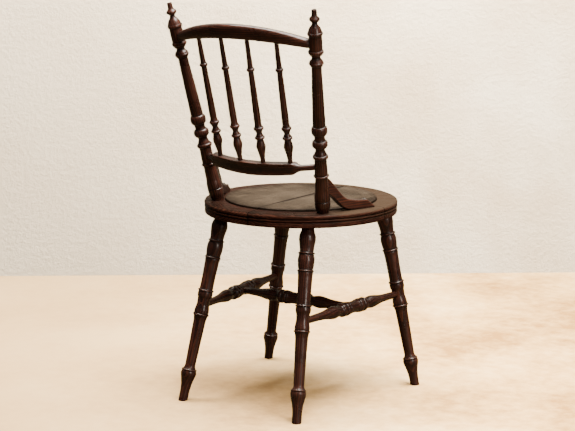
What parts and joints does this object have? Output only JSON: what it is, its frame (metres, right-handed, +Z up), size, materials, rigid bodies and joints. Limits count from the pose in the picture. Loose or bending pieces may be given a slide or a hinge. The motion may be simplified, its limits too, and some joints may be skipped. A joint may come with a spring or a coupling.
{
  "type": "dining chair",
  "caption": "Armless wooden dining chair with a round moulded seat, splayed turned legs and stretchers, and a raked back of turned spindles between finial posts.",
  "frame": {"origin": "on the floor, in the middle of the chair's box", "axes": "+Z up, the chair faces -Y, and +X is the sitter's left"},
  "size_m": [0.435, 0.4842, 0.882],
  "materials": {
    "stained_wood": "dark red-brown stain under worn satin varnish",
    "seat_panel": "faded and scuffed, dull brown, dark at the edge and the open joint",
    "screw_steel": "dull, darkened with age"
  },
  "bodies": {
    "root": {"brace_left": "stained_wood", "brace_post_screw_left": "screw_steel", "brace_post_screw_right": "screw_steel", "brace_right": "stained_wood", "brace_seat_screw_left": "screw_steel", "brace_seat_screw_right": "screw_steel", "crest_rail": "stained_wood", "leg_front_left": "stained_wood", "leg_front_right": "stained_wood", "leg_rear_left": "stained_wood", "leg_rear_right": "stained_wood", "lower_rail": "stained_wood", "panel_left": "seat_panel", "panel_right": "seat_panel", "panel_screw_1": "screw_steel", "panel_screw_2": "screw_steel", "panel_screw_3": "screw_steel", "panel_screw_4": "screw_steel", "post_left": "stained_wood", "post_right": "stained_wood", "post_screw_left": "screw_steel", "post_screw_right": "screw_steel", "rim_front_left": "stained_wood", "rim_front_right": "stained_wood", "rim_rear_left": "stained_wood", "rim_rear_right": "stained_wood", "rim_tongue_front": "stained_wood", "rim_tongue_left": "stained_wood", "rim_tongue_rear": "stained_wood", "rim_tongue_right": "stained_wood", "spindle_left_inner": "stained_wood", "spindle_left_outer": "stained_wood", "spindle_right_inner": "stained_wood", "spindle_right_outer": "stained_wood", "stretcher_cross": "stained_wood", "stretcher_left": "stained_wood", "stretcher_right": "stained_wood"}
  },
  "joints": []
}
